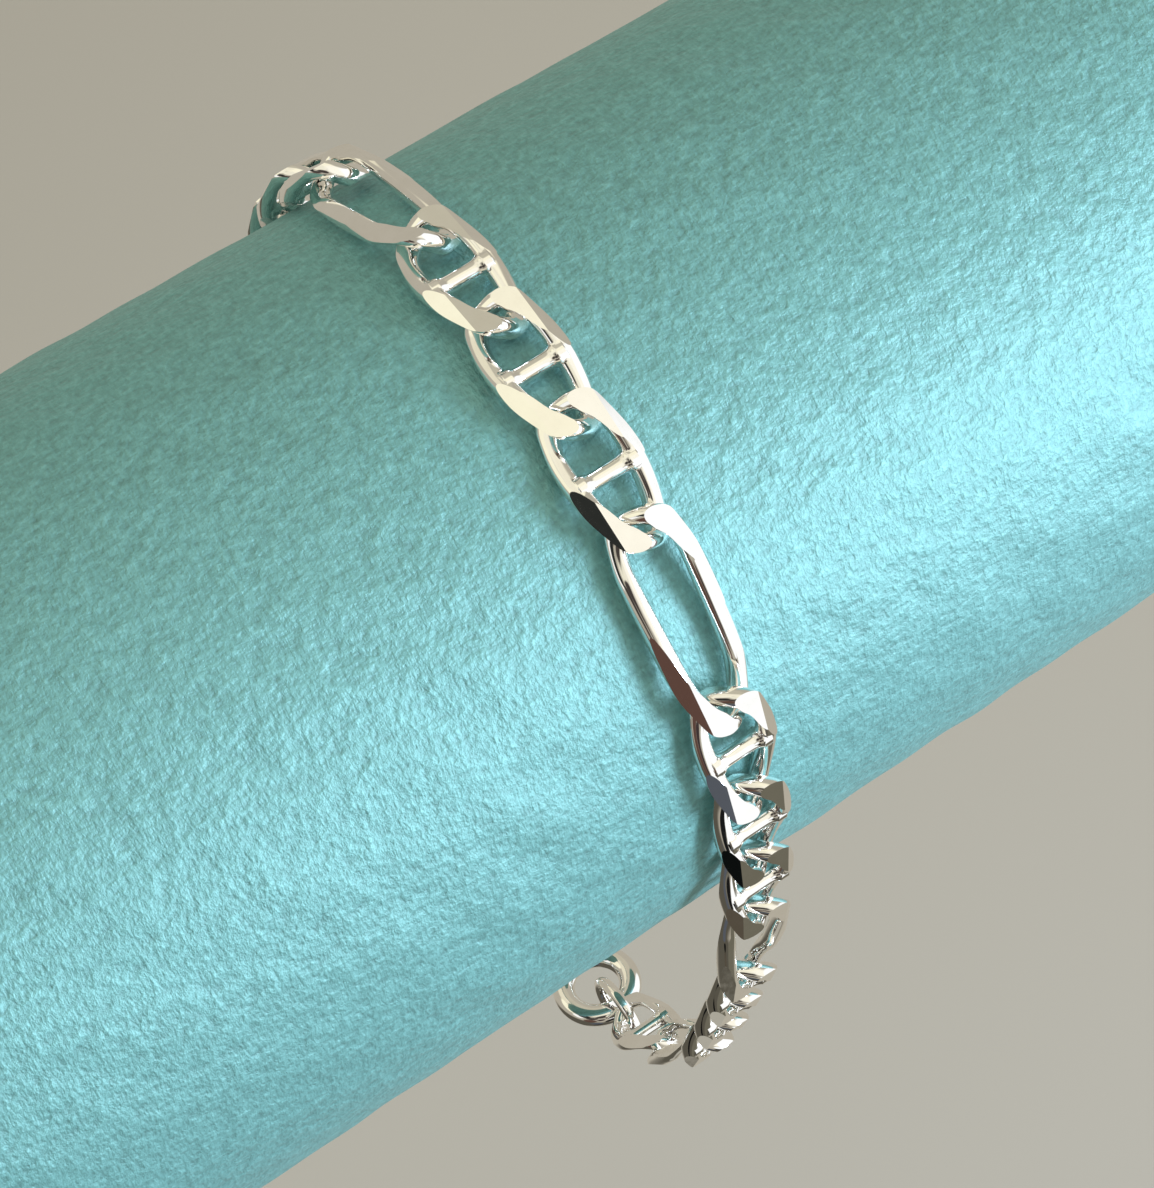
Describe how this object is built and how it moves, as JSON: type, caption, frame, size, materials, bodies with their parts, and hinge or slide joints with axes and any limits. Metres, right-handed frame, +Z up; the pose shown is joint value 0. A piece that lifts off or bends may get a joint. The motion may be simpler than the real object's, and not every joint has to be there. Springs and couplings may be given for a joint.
{
  "type": "link bracelet on display roll",
  "caption": "Chain bracelet of open links and barred links, ground flat and polished, closed by a clasp and hung as a loop over a plain paper display roll.",
  "frame": {"origin": "on the display roll's axis, in the plane that the bracelet hangs in", "axes": "+X along the roll, +Z up, and the bracelet's front comes down on the -Y side"},
  "size_m": [0.1, 0.0463, 0.0755],
  "materials": {
    "silver": "mirror polished sterling silver",
    "roll_paper": "matt fibrous paper, teal"
  },
  "bodies": {
    "root": {"bar_link_01": "silver", "bar_link_03": "silver", "bar_link_04": "silver", "bar_link_05": "silver", "bar_link_07": "silver", "bar_link_08": "silver", "bar_link_09": "silver", "bar_link_11": "silver", "bar_link_12": "silver", "bar_link_13": "silver", "bar_link_15": "silver", "bar_link_16": "silver", "bar_link_17": "silver", "bar_link_19": "silver", "bar_link_20": "silver", "bar_link_21": "silver", "bar_link_23": "silver", "bar_link_24": "silver", "bar_link_25": "silver", "clasp": "silver", "display_roll": "roll_paper", "end_ring": "silver", "jump_ring": "silver", "long_link_02": "silver", "long_link_06": "silver", "long_link_10": "silver", "long_link_14": "silver", "long_link_18": "silver", "long_link_22": "silver"}
  },
  "joints": []
}
